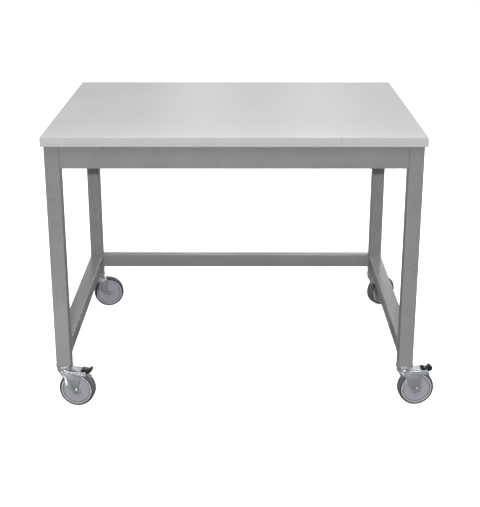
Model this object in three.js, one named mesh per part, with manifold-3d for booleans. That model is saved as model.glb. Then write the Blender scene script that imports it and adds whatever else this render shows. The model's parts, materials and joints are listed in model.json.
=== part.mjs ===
// Mobile assembly table: an edge-banded worktop on a welded square-tube frame, with lower
// stretchers at the sides and rear only, and four swivel casters, the front pair with a rocker brake.
// Millimetres, +Z up. The origin is the centre of the work surface. X runs along the width and
// Y from the front edge (-) to the rear edge (+), so the floor lies topHeight below the origin.
import * as THREE from 'three';
import { mergeVertices } from 'three/addons/utils/BufferGeometryUtils.js';
import Module from 'manifold-3d';

const wasm = await Module();
wasm.setup();

// Clearances
const weldGap = 0.3; // between pieces that are welded, screwed or pressed together
const glueGap = 0.1; // glue line of the edge banding
const runningGap = 0.3; // around pins, bushes and other turning fits
const cutMargin = 1; // how far a cutting tool runs past the surface that it cuts

// Worktop
const topWidth = 1000;
const topDepth = 800;
const topHeight = 770; // floor to work surface
const boardThickness = 25;
const bandThickness = 2;
const bandEdgeRadius = 1.5;
const bandSeamFromRightEnd = 225;

// Frame tubes
const sideOverhang = 7;
const frontOverhang = 9.5;
const legSize = 40;
const legWall = 2;
const apronHeight = 60;
const apronThickness = 30;
const apronWall = 2;
const stretcherSize = 40;
const stretcherWall = 2;
const stretcherUnderside = 147.5; // above the floor
const tubeCornerRadius = 3;

// Tabs on the aprons that the board is screwed to
const tabLength = 50;
const tabReach = 28;
const tabThickness = 3;
const tabHoleRadius = 2.75;
const tabToLeg = 110;

// Threaded plate welded into the lower end of each leg
const footPlateThickness = 8;

// Wheel and tyre
const wheelRadius = 50;
const wheelTrail = 34;
const tyreWidth = 33;
const tyreCrownWidth = 12;
const tyreShoulderDrop = 5;
const tyreDepth = 6.3;
const tyreSideChamfer = 1;
const rimInset = 1.2; // rim flange behind the side of the tyre
const rimFlangeWidth = 3.6;
const rimGrooveWidth = 3.4;
const rimGrooveDepth = 5;
const wheelDiscInset = 4; // face of the disc behind the side of the tyre
const hubRadius = 14;
const hubTaper = 1.5;

// Axle and bush
const axleRadius = 4;
const axleHeadRadius = 7;
const axleHeadHeight = 3;
const bushWall = 2.2;

// Fork and swivel head
const sheet = 2.5; // steel thickness of the fork
const tyreTopClearance = 3;
const tyreSideClearance = 2;
const wheelCutClearance = 2.6;
const bendRadius = 6;
const noseReach = 22; // front of the nose ahead of the swivel axis, at the top
const noseRake = 0.6; // how far the nose runs back for each millimetre down
const noseWebDepth = 20.5; // the nose runs back over this depth, and straight down below it
const axleBossRadius = 10;
const crownRadius = 21.5;
const crownRise = 5.5;
const crownSkirt = 3;
const crownCorner = 2.5;
const headRadius = 24;
const headHeight = 10.2;
const headBowl = 5; // rounding of the head's lower edge
const headCorner = 1;
const raceGap = 0.5; // running gap between the crown and the swivel head
const racePitchRadius = 14.5;
const raceBallRadius = 3;

// Stem: threaded end, swivel shank and riveted head in one turned piece
const stemRadius = 6;
const stemReach = 25;
const stemChamfer = 1.5;
const rivetRadius = 10;
const rivetHeight = 4;

// Cheeks of the two kinds of fork, in heights above the axle and distances behind it
const brakedCheek = { frontCut: 19, rearEdge: 11, rearCut: 32, endRadius: 6 };
const plainCheek = { frontCut: 12, rearEdge: -5, rearCut: 40, endRadius: 9 };
const skirtBelowPin = 8; // lower edge of the hood's side under the pedal pin
const hoodPastPin = 5;

// Rocker pedal of the brake, measured from its pin
const pinAngle = 62.5; // degrees above the axle's level, seen from the axle
const pinRadius = 1.6;
const pedalWidth = 29;
const pedalSideGap = 0.7;
const pedalHubRadius = 3.2;
const pedalShoeGap = 0.6;
const pedalCam = { x: 2.9, z: -5.2 };
const pedalPlanRadius = 9;
const pedalSlotFront = 13; // front end of the slot in the hood, ahead of the pin
const lockPad = { x: 14.3, z: 7.4, tip: 4.2, belly: -1 };
const releasePad = { x: -7.8, z: 6.6, tip: 3 };
const saddleHeight = 2.2;
const neckRise = 0.6; // share of the release pad's height at which its underside leaves the hub
const saddleEnd = { along: 0.3, up: 0.2 }; // shares of the lock pad's place at which the saddle ends
const bellyPlace = 0.6; // share of the lock pad's reach at which its underside hangs lowest
const releaseTilt = 0.35 * Math.PI; // where the pads' faces run into their round tips
const lockTilt = -0.3 * Math.PI;
const camFlank = -0.7 * Math.PI; // where the cam runs into the hub

// Brake shoe: a spring strip that lies around the tyre under the hood
const shoeThickness = 1.2;
const shoeWidth = 18;
const shoeClearance = 2;
const shoeEndAngle = 40; // degrees above the axle's level

// Trailing directions as photographed, in degrees from +X towards +Y
const casters = [
  { corner: 'front_left', side: -1, end: -1, trailing: -8, braked: true },
  { corner: 'front_right', side: 1, end: -1, trailing: 7, braked: true },
  { corner: 'rear_left', side: -1, end: 1, trailing: 8, braked: false },
  { corner: 'rear_right', side: 1, end: 1, trailing: 33, braked: false },
];

// Facets of the revolved pieces
const tyreFacets = 28;
const coreFacets = 24;
const headFacets = 16;
const pinFacets = 12;
const arcSteps = 2;
const noseSteps = 8;
const bowlSteps = 3;
const ballRingSides = 6;
const cornerSteps = 1; // an arc of a shape gets twice as many straight steps
const curveSteps = 3;

// Derived heights above the floor, from the wheel up to the leg
const hoodUnderside = 2 * wheelRadius + tyreTopClearance;
const hoodTop = hoodUnderside + sheet;
const crownTop = hoodTop + crownRise;
const headBottom = crownTop + raceGap;
const headTop = headBottom + headHeight;
const legBottom = headTop + weldGap;
const boardUnderside = topHeight - boardThickness;
const legTop = boardUnderside - weldGap;

// Derived places in plan
const legX = topWidth / 2 - sideOverhang - legSize / 2;
const legY = topDepth / 2 - frontOverhang - legSize / 2;
const tyreHalf = tyreWidth / 2;
const forkInner = tyreHalf + tyreSideClearance;
const forkOuter = forkInner + sheet;
const boltHole = stemRadius + runningGap;
const shoeOuter = wheelRadius + shoeClearance + shoeThickness;
const pinDistance = shoeOuter + pedalHubRadius + pedalShoeGap;
const pinBehindSwivel = wheelTrail + pinDistance * Math.cos(THREE.MathUtils.degToRad(pinAngle));
const pinAboveFloor = wheelRadius + pinDistance * Math.sin(THREE.MathUtils.degToRad(pinAngle));
const floorLevel = -topHeight;

const finishes = {
  laminate: { color: 0xd3d4d5, roughness: 0.45, metalness: 0 },
  edging: { color: 0xc2c3c5, roughness: 0.5, metalness: 0 },
  frame: { color: 0x8b8b8c, roughness: 0.55, metalness: 0.1 },
  zinc: { color: 0xb9bdc2, roughness: 0.3, metalness: 0.9 },
  steel: { color: 0x8d9093, roughness: 0.4, metalness: 0.9 },
  rim: { color: 0xa7a9b4, roughness: 0.5, metalness: 0 },
  tyre: { color: 0x6b6c70, roughness: 0.8, metalness: 0 },
  pedal: { color: 0x232527, roughness: 0.5, metalness: 0 },
  bush: { color: 0xd9d8d2, roughness: 0.5, metalness: 0 },
};

const table = new THREE.Group();

function solidOf(geometry) {
  const bare = geometry.clone();
  bare.deleteAttribute('normal');
  bare.deleteAttribute('uv');
  const merged = mergeVertices(bare);
  const corners = merged.index.array;
  const triangles = [];
  for (let i = 0; i < corners.length; i += 3) {
    const [a, b, c] = [corners[i], corners[i + 1], corners[i + 2]];
    if (a !== b && b !== c && c !== a) triangles.push(a, b, c);
  }
  const mesh = new wasm.Mesh({
    numProp: 3,
    vertProperties: new Float32Array(merged.attributes.position.array),
    triVerts: new Uint32Array(triangles),
  });
  return new wasm.Manifold(mesh);
}

function addPiece(parent, name, solid, finish) {
  const mesh = solid.getMesh();
  const geometry = new THREE.BufferGeometry();
  geometry.setAttribute('position', new THREE.BufferAttribute(mesh.vertProperties, 3));
  geometry.setIndex(new THREE.BufferAttribute(mesh.triVerts, 1));
  geometry.computeVertexNormals();
  const piece = new THREE.Mesh(geometry, new THREE.MeshStandardMaterial(finishes[finish]));
  piece.name = name;
  parent.add(piece);
  return piece;
}

// Solid of a shape drawn in X and Y, raised from one height to another
function raised(shape, low, high, steps) {
  const options = { depth: high - low, bevelEnabled: false, curveSegments: steps };
  return solidOf(new THREE.ExtrudeGeometry(shape, options).translate(0, 0, low));
}

// Solid of a side view drawn in X and Z, with equal halves either side of the XZ plane
function sideways(shape, width) {
  const options = { depth: width, bevelEnabled: false, curveSegments: curveSteps };
  return solidOf(new THREE.ExtrudeGeometry(shape, options).rotateX(Math.PI / 2).translate(0, width / 2, 0));
}

// A profile of [radius, height] pairs that starts and ends on the axis, or goes anticlockwise round a ring
function turned(profile, facets, isRing) {
  const points = profile.map(([radius, height]) => new THREE.Vector2(radius, height));
  if (isRing) points.push(points[0].clone());
  return new THREE.LatheGeometry(points, facets);
}

function turnedUpright(profile, facets, isRing) {
  return solidOf(turned(profile, facets, isRing).rotateX(Math.PI / 2));
}

function turnedAcross(profile, facets, isRing) {
  return solidOf(turned(profile, facets, isRing));
}

function roundRod(radius, length, facets) {
  const half = length / 2;
  return turnedAcross([[0, -half], [radius, -half], [radius, half], [0, half]], facets);
}

function cuboid(low, high) {
  const size = new THREE.Vector3().subVectors(high, low);
  const centre = new THREE.Vector3().addVectors(low, high).multiplyScalar(0.5);
  return solidOf(new THREE.BoxGeometry(size.x, size.y, size.z).translate(centre.x, centre.y, centre.z));
}

function roundedRectangle(Type, width, height, radius) {
  const outline = new Type();
  const [x, y] = [width / 2 - radius, height / 2 - radius];
  outline.absarc(x, y, radius, 0, Math.PI / 2);
  outline.absarc(-x, y, radius, Math.PI / 2, Math.PI);
  outline.absarc(-x, -y, radius, Math.PI, 1.5 * Math.PI);
  outline.absarc(x, -y, radius, 1.5 * Math.PI, 2 * Math.PI);
  outline.closePath();
  return outline;
}

// Square or oblong tube standing on Z, centred on the origin
function uprightTube(width, depth, wall, length) {
  const outline = roundedRectangle(THREE.Shape, width, depth, tubeCornerRadius);
  const innerRadius = Math.max(tubeCornerRadius - wall, wall / 4);
  outline.holes.push(roundedRectangle(THREE.Path, width - 2 * wall, depth - 2 * wall, innerRadius));
  const options = { depth: length, bevelEnabled: false, curveSegments: cornerSteps };
  return solidOf(new THREE.ExtrudeGeometry(outline, options).translate(0, 0, -length / 2));
}

function tubeAlongX(height, depth, wall, length) {
  return uprightTube(height, depth, wall, length).rotate([0, 90, 0]);
}

// Worktop: core board and its edge bands

function edgeBand(length) {
  const half = boardThickness / 2;
  const radius = Math.min(bandEdgeRadius, bandThickness, half);
  const outline = new THREE.Shape();
  outline.moveTo(bandThickness, -half);
  outline.lineTo(bandThickness, half);
  outline.absarc(radius, half - radius, radius, Math.PI / 2, Math.PI);
  outline.absarc(radius, radius - half, radius, Math.PI, 1.5 * Math.PI);
  outline.closePath();
  const options = { depth: length, bevelEnabled: false, curveSegments: cornerSteps };
  const strip = new THREE.ExtrudeGeometry(outline, options).translate(0, 0, -length / 2);
  return solidOf(strip.rotateX(Math.PI / 2));
}

function addBand(name, length, x, y, turn) {
  const band = addPiece(table, name, edgeBand(length), 'edging');
  band.position.set(x, y, -boardThickness / 2);
  band.rotation.z = turn;
}

function buildWorktop() {
  const border = bandThickness + glueGap;
  const low = new THREE.Vector3(border - topWidth / 2, border - topDepth / 2, -boardThickness);
  const high = new THREE.Vector3(topWidth / 2 - border, topDepth / 2 - border, 0);
  addPiece(table, 'worktop_board', cuboid(low, high), 'laminate');

  const sideLength = topDepth - 2 * border;
  addBand('edge_band_left', sideLength, -topWidth / 2, 0, 0);
  addBand('edge_band_right', sideLength, topWidth / 2, 0, Math.PI);
  addBand('edge_band_rear', topWidth, 0, topDepth / 2, -Math.PI / 2);

  const seam = topWidth / 2 - bandSeamFromRightEnd;
  const longLength = topWidth - bandSeamFromRightEnd - glueGap / 2;
  const shortLength = bandSeamFromRightEnd - glueGap / 2;
  const longMiddle = seam - (glueGap + longLength) / 2;
  const shortMiddle = seam + (glueGap + shortLength) / 2;
  addBand('edge_band_front_long', longLength, longMiddle, -topDepth / 2, Math.PI / 2);
  addBand('edge_band_front_short', shortLength, shortMiddle, -topDepth / 2, Math.PI / 2);
}

// Frame: legs, aprons with screw tabs, stretchers and foot plates

function apron(length, tabPlaces) {
  let body = tubeAlongX(apronHeight, apronThickness, apronWall, length);
  for (const place of tabPlaces) {
    const root = apronThickness / 2 - apronWall;
    const tip = apronThickness / 2 + tabReach;
    const low = new THREE.Vector3(place - tabLength / 2, root, apronHeight / 2 - apronWall - tabThickness);
    const high = new THREE.Vector3(place + tabLength / 2, tip, apronHeight / 2 - apronWall);
    const hole = new THREE.CylinderGeometry(tabHoleRadius, tabHoleRadius, apronHeight, pinFacets);
    hole.rotateX(Math.PI / 2).translate(place, apronThickness / 2 + tabReach / 2, apronHeight / 2);
    body = body.add(cuboid(low, high).subtract(solidOf(hole)));
  }
  return body;
}

function addApron(name, length, x, y, turn, tabPlaces) {
  const piece = addPiece(table, name, apron(length, tabPlaces), 'frame');
  piece.position.set(x, y, floorLevel + legTop - apronHeight / 2);
  piece.rotation.z = turn;
}

function addStretcher(name, length, x, y, turn) {
  const tube = tubeAlongX(stretcherSize, stretcherSize, stretcherWall, length);
  const piece = addPiece(table, name, tube, 'frame');
  piece.position.set(x, y, floorLevel + stretcherUnderside + stretcherSize / 2);
  piece.rotation.z = turn;
}

function buildFrame() {
  const legLength = legTop - legBottom;
  const acrossLength = 2 * legX - legSize - 2 * weldGap;
  const alongLength = 2 * legY - legSize - 2 * weldGap;
  const apronX = legX + legSize / 2 - apronThickness / 2;
  const apronY = legY + legSize / 2 - apronThickness / 2;
  const stretcherX = legX + legSize / 2 - stretcherSize / 2;
  const stretcherY = legY + legSize / 2 - stretcherSize / 2;
  const sideTab = alongLength / 2 - tabToLeg;

  for (const { corner, side, end } of casters) {
    const leg = addPiece(table, `${corner}_leg`, uprightTube(legSize, legSize, legWall, legLength), 'frame');
    leg.position.set(side * legX, end * legY, floorLevel + legBottom + legLength / 2);
    const plate = addPiece(table, `${corner}_foot_plate`, footPlate(), 'steel');
    plate.position.set(side * legX, end * legY, floorLevel + legBottom);
  }

  addApron('front_apron', acrossLength, 0, -apronY, 0, [0]);
  addApron('rear_apron', acrossLength, 0, apronY, Math.PI, [0]);
  addApron('left_apron', alongLength, -apronX, 0, -Math.PI / 2, [-sideTab, sideTab]);
  addApron('right_apron', alongLength, apronX, 0, Math.PI / 2, [-sideTab, sideTab]);
  addStretcher('left_stretcher', alongLength, -stretcherX, 0, Math.PI / 2);
  addStretcher('right_stretcher', alongLength, stretcherX, 0, Math.PI / 2);
  addStretcher('rear_stretcher', acrossLength, 0, stretcherY, 0);
}

function footPlate() {
  const size = legSize - 2 * legWall - 2 * weldGap;
  const cornerRadius = Math.max(tubeCornerRadius - legWall, legWall / 4);
  const outline = roundedRectangle(THREE.Shape, size, size, cornerRadius);
  const hole = roundRod(boltHole, 2 * (footPlateThickness + cutMargin), pinFacets).rotate([90, 0, 0]);
  return raised(outline, 0, footPlateThickness, cornerSteps).subtract(hole);
}

// Caster pieces, drawn with the floor at zero, the swivel axis on Z and the wheel trailing along +X

function stem() {
  const rivetTop = hoodUnderside - runningGap;
  const tip = legBottom + stemReach;
  return turnedUpright([
    [0, rivetTop - rivetHeight],
    [rivetRadius - stemChamfer, rivetTop - rivetHeight],
    [rivetRadius, rivetTop - rivetHeight + stemChamfer],
    [rivetRadius, rivetTop],
    [stemRadius, rivetTop],
    [stemRadius, tip - stemChamfer],
    [stemRadius - stemChamfer, tip],
    [0, tip],
  ], pinFacets);
}

// Half of the round channel that the ball ring runs in, as a ring profile cut into a face at one height
function raceChannel(faceHeight) {
  const radius = raceBallRadius + raceGap;
  return turnedUpright([
    [racePitchRadius - radius, faceHeight - radius],
    [racePitchRadius + radius, faceHeight - radius],
    [racePitchRadius + radius, faceHeight + radius],
    [racePitchRadius - radius, faceHeight + radius],
  ], headFacets, true);
}

function swivelHead() {
  const bore = stemRadius + weldGap;
  const profile = [[bore, headBottom]];
  for (let i = 0; i <= bowlSteps; i += 1) {
    const angle = (i * Math.PI) / (2 * bowlSteps);
    const [inward, upward] = [headBowl * (1 - Math.sin(angle)), headBowl * (1 - Math.cos(angle))];
    profile.push([headRadius - inward, headBottom + upward]);
  }
  profile.push([headRadius, headTop - headCorner], [headRadius - headCorner, headTop], [bore, headTop]);
  return turnedUpright(profile, headFacets, true).subtract(raceChannel(headBottom - raceGap / 2));
}

function ballRing() {
  const middle = crownTop + raceGap / 2;
  const profile = [];
  for (let i = 0; i < ballRingSides; i += 1) {
    const angle = (2 * i * Math.PI) / ballRingSides;
    const [outward, upward] = [raceBallRadius * Math.cos(angle), raceBallRadius * Math.sin(angle)];
    profile.push([racePitchRadius + outward, middle + upward]);
  }
  return turnedUpright(profile, headFacets, true);
}

// Closed solid through level outlines, each a list of [x, y] pairs going anticlockwise round a convex form
function loft(levels, outlineAt) {
  const outlines = levels.map(outlineAt);
  const count = outlines[0].length;
  const last = (levels.length - 1) * count;
  const points = outlines.flatMap((outline, i) => outline.flatMap(([x, y]) => [x, y, levels[i]]));
  const corners = [];
  for (let i = 0; i < levels.length - 1; i += 1) {
    for (let j = 0; j < count; j += 1) {
      const [a, b] = [i * count + j, i * count + ((j + 1) % count)];
      corners.push(a, b, b + count, a, b + count, a + count);
    }
  }
  for (let j = 1; j < count - 1; j += 1) {
    corners.push(0, j + 1, j, last, last + j, last + j + 1);
  }
  const geometry = new THREE.BufferGeometry();
  geometry.setAttribute('position', new THREE.Float32BufferAttribute(points, 3));
  geometry.setIndex(corners);
  return solidOf(geometry);
}

// Pressed channel: straight cheeks, a half-round nose that runs back as it goes down, and a bent upper edge
function channel(halfWidth, top, bend, bottom, rearEnd) {
  const bendStart = top - bend;
  const levels = [bottom, hoodTop - noseWebDepth, bendStart];
  for (let i = 1; i <= arcSteps; i += 1) {
    levels.push(bendStart + bend * Math.sin((i * Math.PI) / (2 * arcSteps)));
  }
  return loft(levels, (height) => {
    const rise = Math.max(height - bendStart, 0);
    const radius = halfWidth - bend + Math.sqrt(Math.max(bend * bend - rise * rise, 0));
    const centre = forkOuter - noseReach + noseRake * Math.min(hoodTop - height, noseWebDepth);
    const outline = [[rearEnd, -radius], [rearEnd, radius]];
    for (let i = 0; i <= noseSteps; i += 1) {
      const angle = Math.PI / 2 + (i * Math.PI) / noseSteps;
      outline.push([centre + radius * Math.cos(angle), radius * Math.sin(angle)]);
    }
    return outline;
  });
}

// Angle round the axle boss at which a straight edge from a point touches it
function bossTangent(x, z, turn) {
  const [dx, dz] = [x - wheelTrail, z - wheelRadius];
  return Math.atan2(dz, dx) + turn * Math.acos(axleBossRadius / Math.hypot(dx, dz));
}

function cheekOutline(cheek, rearEnd) {
  const noseCentre = forkOuter - noseReach + noseRake * noseWebDepth;
  const frontEdge = noseCentre - Math.sqrt(forkOuter ** 2 - forkInner ** 2);
  const frontLimit = -noseReach - cutMargin;
  const frontCut = wheelRadius + cheek.frontCut;
  const rearEdge = wheelTrail + cheek.rearEdge;
  const rearCut = wheelRadius + cheek.rearCut;
  const cornerX = rearEnd - cheek.endRadius;
  const outline = new THREE.Shape();
  outline.moveTo(frontLimit, hoodTop + cutMargin);
  outline.lineTo(frontLimit, frontCut);
  outline.lineTo(frontEdge, frontCut);
  const start = bossTangent(frontEdge, frontCut, 1);
  const finish = bossTangent(rearEdge, rearCut, -1);
  outline.absarc(wheelTrail, wheelRadius, axleBossRadius, start, finish + 2 * Math.PI);
  outline.lineTo(rearEdge, rearCut);
  if (rearEnd > rearEdge) {
    const skirtBottom = pinAboveFloor - skirtBelowPin;
    const filletEnd = rearEdge + (skirtBottom - rearCut);
    outline.quadraticCurveTo(rearEdge, skirtBottom, filletEnd, skirtBottom);
    outline.lineTo(rearEnd, skirtBottom);
  }
  outline.absarc(cornerX, hoodTop - cheek.endRadius, cheek.endRadius, 0, Math.PI / 2);
  outline.lineTo(cornerX, hoodTop + cutMargin);
  outline.closePath();
  return outline;
}

function crown() {
  const low = hoodTop - crownSkirt;
  return turnedUpright([
    [boltHole, low],
    [crownRadius, low],
    [crownRadius, crownTop - crownCorner],
    [crownRadius - crownCorner, crownTop],
    [boltHole, crownTop],
  ], headFacets, true).subtract(raceChannel(crownTop + raceGap / 2));
}

function fork(braked) {
  const cheek = braked ? brakedCheek : plainCheek;
  const rearEnd = braked ? pinBehindSwivel + hoodPastPin : wheelTrail + plainCheek.rearEdge;
  const bottom = wheelRadius - axleBossRadius - cutMargin;
  const outer = channel(forkOuter, hoodTop, bendRadius, bottom, rearEnd);
  const innerBend = bendRadius - sheet;
  const inner = channel(forkInner, hoodUnderside, innerBend, bottom - cutMargin, rearEnd + cutMargin);
  const acrossFork = 2 * (forkOuter + cutMargin);
  const wheelCut = roundRod(wheelRadius + wheelCutClearance, 2 * forkInner, tyreFacets);
  const axleHole = roundRod(axleRadius + runningGap, acrossFork, pinFacets);
  const shankHole = roundRod(boltHole, hoodTop, pinFacets).rotate([90, 0, 0]);
  let body = outer.intersect(sideways(cheekOutline(cheek, rearEnd), acrossFork));
  body = body.add(crown()).subtract(inner);
  body = body.subtract(wheelCut.translate([wheelTrail, 0, wheelRadius]));
  body = body.subtract(axleHole.translate([wheelTrail, 0, wheelRadius]));
  body = body.subtract(shankHole.translate([0, 0, hoodTop]));
  if (braked) {
    const slotHalf = pedalWidth / 2 + pedalSideGap;
    const slotLow = new THREE.Vector3(pinBehindSwivel - pedalSlotFront, -slotHalf, pinAboveFloor);
    const slotHigh = new THREE.Vector3(rearEnd + cutMargin, slotHalf, hoodTop + cutMargin);
    const pinHole = roundRod(pinRadius + runningGap, acrossFork, pinFacets);
    body = body.subtract(cuboid(slotLow, slotHigh));
    body = body.subtract(pinHole.translate([pinBehindSwivel, 0, pinAboveFloor]));
  }
  return body;
}

function axle() {
  const seat = forkOuter + runningGap;
  const crest = seat + axleHeadHeight;
  const half = [
    [axleRadius, seat],
    [axleHeadRadius, seat],
    [axleHeadRadius - axleHeadHeight, crest],
    [0, crest],
  ];
  const mirrored = half.map(([radius, height]) => [radius, -height]).reverse();
  return turnedAcross([...mirrored, ...half], pinFacets);
}

function axleBush() {
  const half = forkInner - runningGap;
  const inside = axleRadius + runningGap;
  const outside = inside + bushWall;
  return turnedAcross([[inside, -half], [outside, -half], [outside, half], [inside, half]], pinFacets, true);
}

// Both sides of a ring profile, from the half that lies on the positive side
function mirroredRing(half) {
  return [...half.map(([radius, height]) => [radius, -height]).reverse(), ...half];
}

function wheelCore() {
  const bore = axleRadius + runningGap + bushWall + runningGap;
  const seat = wheelRadius - tyreDepth - weldGap;
  const rimFace = tyreHalf - rimInset;
  const flangeInside = seat - rimFlangeWidth;
  const discEdge = flangeInside - rimGrooveWidth;
  const discFace = tyreHalf - wheelDiscInset;
  const hubFace = tyreHalf + tyreSideClearance / 2;
  const half = [
    [seat, rimFace],
    [flangeInside, rimFace],
    [flangeInside - rimGrooveWidth / 2, rimFace - rimGrooveDepth],
    [discEdge, discFace],
    [hubRadius, discFace],
    [hubRadius - hubTaper, hubFace],
    [bore, hubFace],
  ];
  return turnedAcross(mirroredRing(half), coreFacets, true);
}

// The flats of the tread lie on the wheel's radius, and one of them is turned down to the floor
function tyre() {
  const inside = wheelRadius - tyreDepth;
  const crownRadiusAtCorners = wheelRadius / Math.cos(Math.PI / tyreFacets);
  const shoulderWidth = tyreHalf - tyreCrownWidth / 2;
  const half = [];
  for (let i = 0; i <= arcSteps; i += 1) {
    const angle = (i * Math.PI) / (2 * arcSteps);
    const radius = crownRadiusAtCorners - tyreShoulderDrop * (1 - Math.cos(angle));
    half.push([radius, tyreCrownWidth / 2 + shoulderWidth * Math.sin(angle)]);
  }
  half.push([inside, tyreHalf - tyreSideChamfer]);
  return turnedAcross(mirroredRing(half), tyreFacets, true).rotate([0, 180 / tyreFacets, 0]);
}

// Rocker: a hub with a cam under it, a release pad towards the table and a lock pad that rises outwards
function brakePedal() {
  const releaseEnd = releaseTilt - 2 * Math.PI;
  const saddleTop = saddleHeight + lockPad.z * saddleEnd.up;
  const outline = new THREE.Shape();
  outline.moveTo(-pedalHubRadius, 0);
  outline.quadraticCurveTo(-pedalHubRadius, releasePad.z / 2, releasePad.x / 2, releasePad.z * neckRise);
  outline.absarc(releasePad.x, releasePad.z, releasePad.tip, releaseEnd + Math.PI, releaseEnd, true);
  outline.quadraticCurveTo(0, saddleHeight, lockPad.x * saddleEnd.along, saddleTop);
  outline.absarc(lockPad.x, lockPad.z, lockPad.tip, lockTilt + Math.PI, lockTilt, true);
  outline.quadraticCurveTo(lockPad.x * bellyPlace, lockPad.belly, pedalHubRadius, 0);
  outline.quadraticCurveTo(pedalHubRadius, pedalCam.z, pedalCam.x, pedalCam.z);
  outline.absarc(0, 0, pedalHubRadius, camFlank, -Math.PI, true);

  const front = releasePad.x - releasePad.tip;
  const rear = lockPad.x + lockPad.tip;
  const plan = roundedRectangle(THREE.Shape, rear - front, pedalWidth, pedalPlanRadius);
  const planTop = lockPad.z + lockPad.tip + cutMargin;
  const planSolid = raised(plan, pedalCam.z - cutMargin, planTop, curveSteps);
  const bore = roundRod(pinRadius + runningGap, pedalWidth + cutMargin, pinFacets);
  const planPlaced = planSolid.translate([(front + rear) / 2, 0, 0]);
  return sideways(outline, pedalWidth).intersect(planPlaced).subtract(bore);
}

function brakeShoe() {
  const inside = wheelRadius + shoeClearance;
  const start = Math.asin((hoodUnderside - runningGap - wheelRadius) / shoeOuter);
  const end = THREE.MathUtils.degToRad(shoeEndAngle);
  const outline = new THREE.Shape();
  outline.absarc(0, 0, shoeOuter, end, start);
  outline.absarc(0, 0, inside, start, end, true);
  outline.closePath();
  return sideways(outline, shoeWidth);
}

function buildCaster({ corner, side, end, trailing, braked }) {
  const caster = new THREE.Group();
  caster.position.set(side * legX, end * legY, floorLevel);
  caster.rotation.z = THREE.MathUtils.degToRad(trailing);
  const wheel = new THREE.Group();
  wheel.position.set(wheelTrail, 0, wheelRadius);
  caster.add(wheel);
  table.add(caster);

  addPiece(caster, `${corner}_caster_stem`, stem(), 'zinc');
  addPiece(caster, `${corner}_swivel_head`, swivelHead(), 'zinc');
  addPiece(caster, `${corner}_ball_ring`, ballRing(), 'steel');
  addPiece(caster, `${corner}_fork`, fork(braked), 'zinc');
  addPiece(wheel, `${corner}_axle`, axle(), 'zinc');
  addPiece(wheel, `${corner}_axle_bush`, axleBush(), 'bush');
  addPiece(wheel, `${corner}_wheel_core`, wheelCore(), 'rim');
  addPiece(wheel, `${corner}_tyre`, tyre(), 'tyre');
  if (braked) {
    const pivot = new THREE.Group();
    pivot.position.set(pinBehindSwivel, 0, pinAboveFloor);
    caster.add(pivot);
    addPiece(pivot, `${corner}_brake_pedal`, brakePedal(), 'pedal');
    addPiece(pivot, `${corner}_pedal_pin`, roundRod(pinRadius, 2 * forkOuter, pinFacets), 'zinc');
    addPiece(wheel, `${corner}_brake_shoe`, brakeShoe(), 'steel');
  }
}

buildWorktop();
buildFrame();
casters.forEach(buildCaster);

export default table;
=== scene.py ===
import json
import math

import bmesh
import bpy
from mathutils import Matrix, Vector


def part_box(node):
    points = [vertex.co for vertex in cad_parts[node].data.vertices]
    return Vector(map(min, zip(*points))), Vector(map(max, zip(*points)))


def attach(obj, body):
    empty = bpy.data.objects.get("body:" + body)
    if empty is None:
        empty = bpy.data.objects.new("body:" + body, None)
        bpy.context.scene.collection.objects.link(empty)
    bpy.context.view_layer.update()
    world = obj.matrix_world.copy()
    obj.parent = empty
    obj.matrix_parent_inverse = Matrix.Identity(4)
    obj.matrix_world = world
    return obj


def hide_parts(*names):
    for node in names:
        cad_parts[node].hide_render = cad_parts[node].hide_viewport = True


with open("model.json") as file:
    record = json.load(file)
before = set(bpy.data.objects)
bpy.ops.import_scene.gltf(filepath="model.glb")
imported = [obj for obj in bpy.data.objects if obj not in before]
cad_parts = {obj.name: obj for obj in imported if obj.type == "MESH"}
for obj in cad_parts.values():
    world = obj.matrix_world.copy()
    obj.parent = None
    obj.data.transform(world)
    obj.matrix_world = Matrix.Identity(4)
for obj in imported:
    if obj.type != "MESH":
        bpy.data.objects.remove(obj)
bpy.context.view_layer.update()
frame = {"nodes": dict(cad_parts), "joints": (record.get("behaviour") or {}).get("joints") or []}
scene = bpy.context.scene
mm = 0.001
corners = ("front_left", "front_right", "rear_left", "rear_right")
frameBody = "table_frame"
jointOf = {joint["name"]: joint for joint in frame["joints"]}
wheelRadius = 50.0  # in millimetres, like all the sizes of the casters
floorHeight = jointOf["front_left_wheel_roll"]["pos_m"][2] - wheelRadius * mm
print("frame loaded:", len(frame["nodes"]), "nodes")

cameraView = {
    "focalPixels": 1075.17,  # in pixels of the 480 x 507 photograph
    "frameHeight": 507,
    "sensor": 36.0,
    "pitch": math.radians(19.15),
    "yaw": 0.0017,
    "place": (0.01975, -3.09864, 0.62288),
}


def addCamera():
    data = bpy.data.cameras.new("camera")
    data.sensor_width = cameraView["sensor"]
    data.lens = cameraView["focalPixels"] * cameraView["sensor"] / cameraView["frameHeight"]
    camera = bpy.data.objects.new("camera", data)
    camera.location = cameraView["place"]
    camera.rotation_euler = (math.pi / 2 - cameraView["pitch"], 0, cameraView["yaw"])
    scene.collection.objects.link(camera)
    scene.camera = camera


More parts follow.
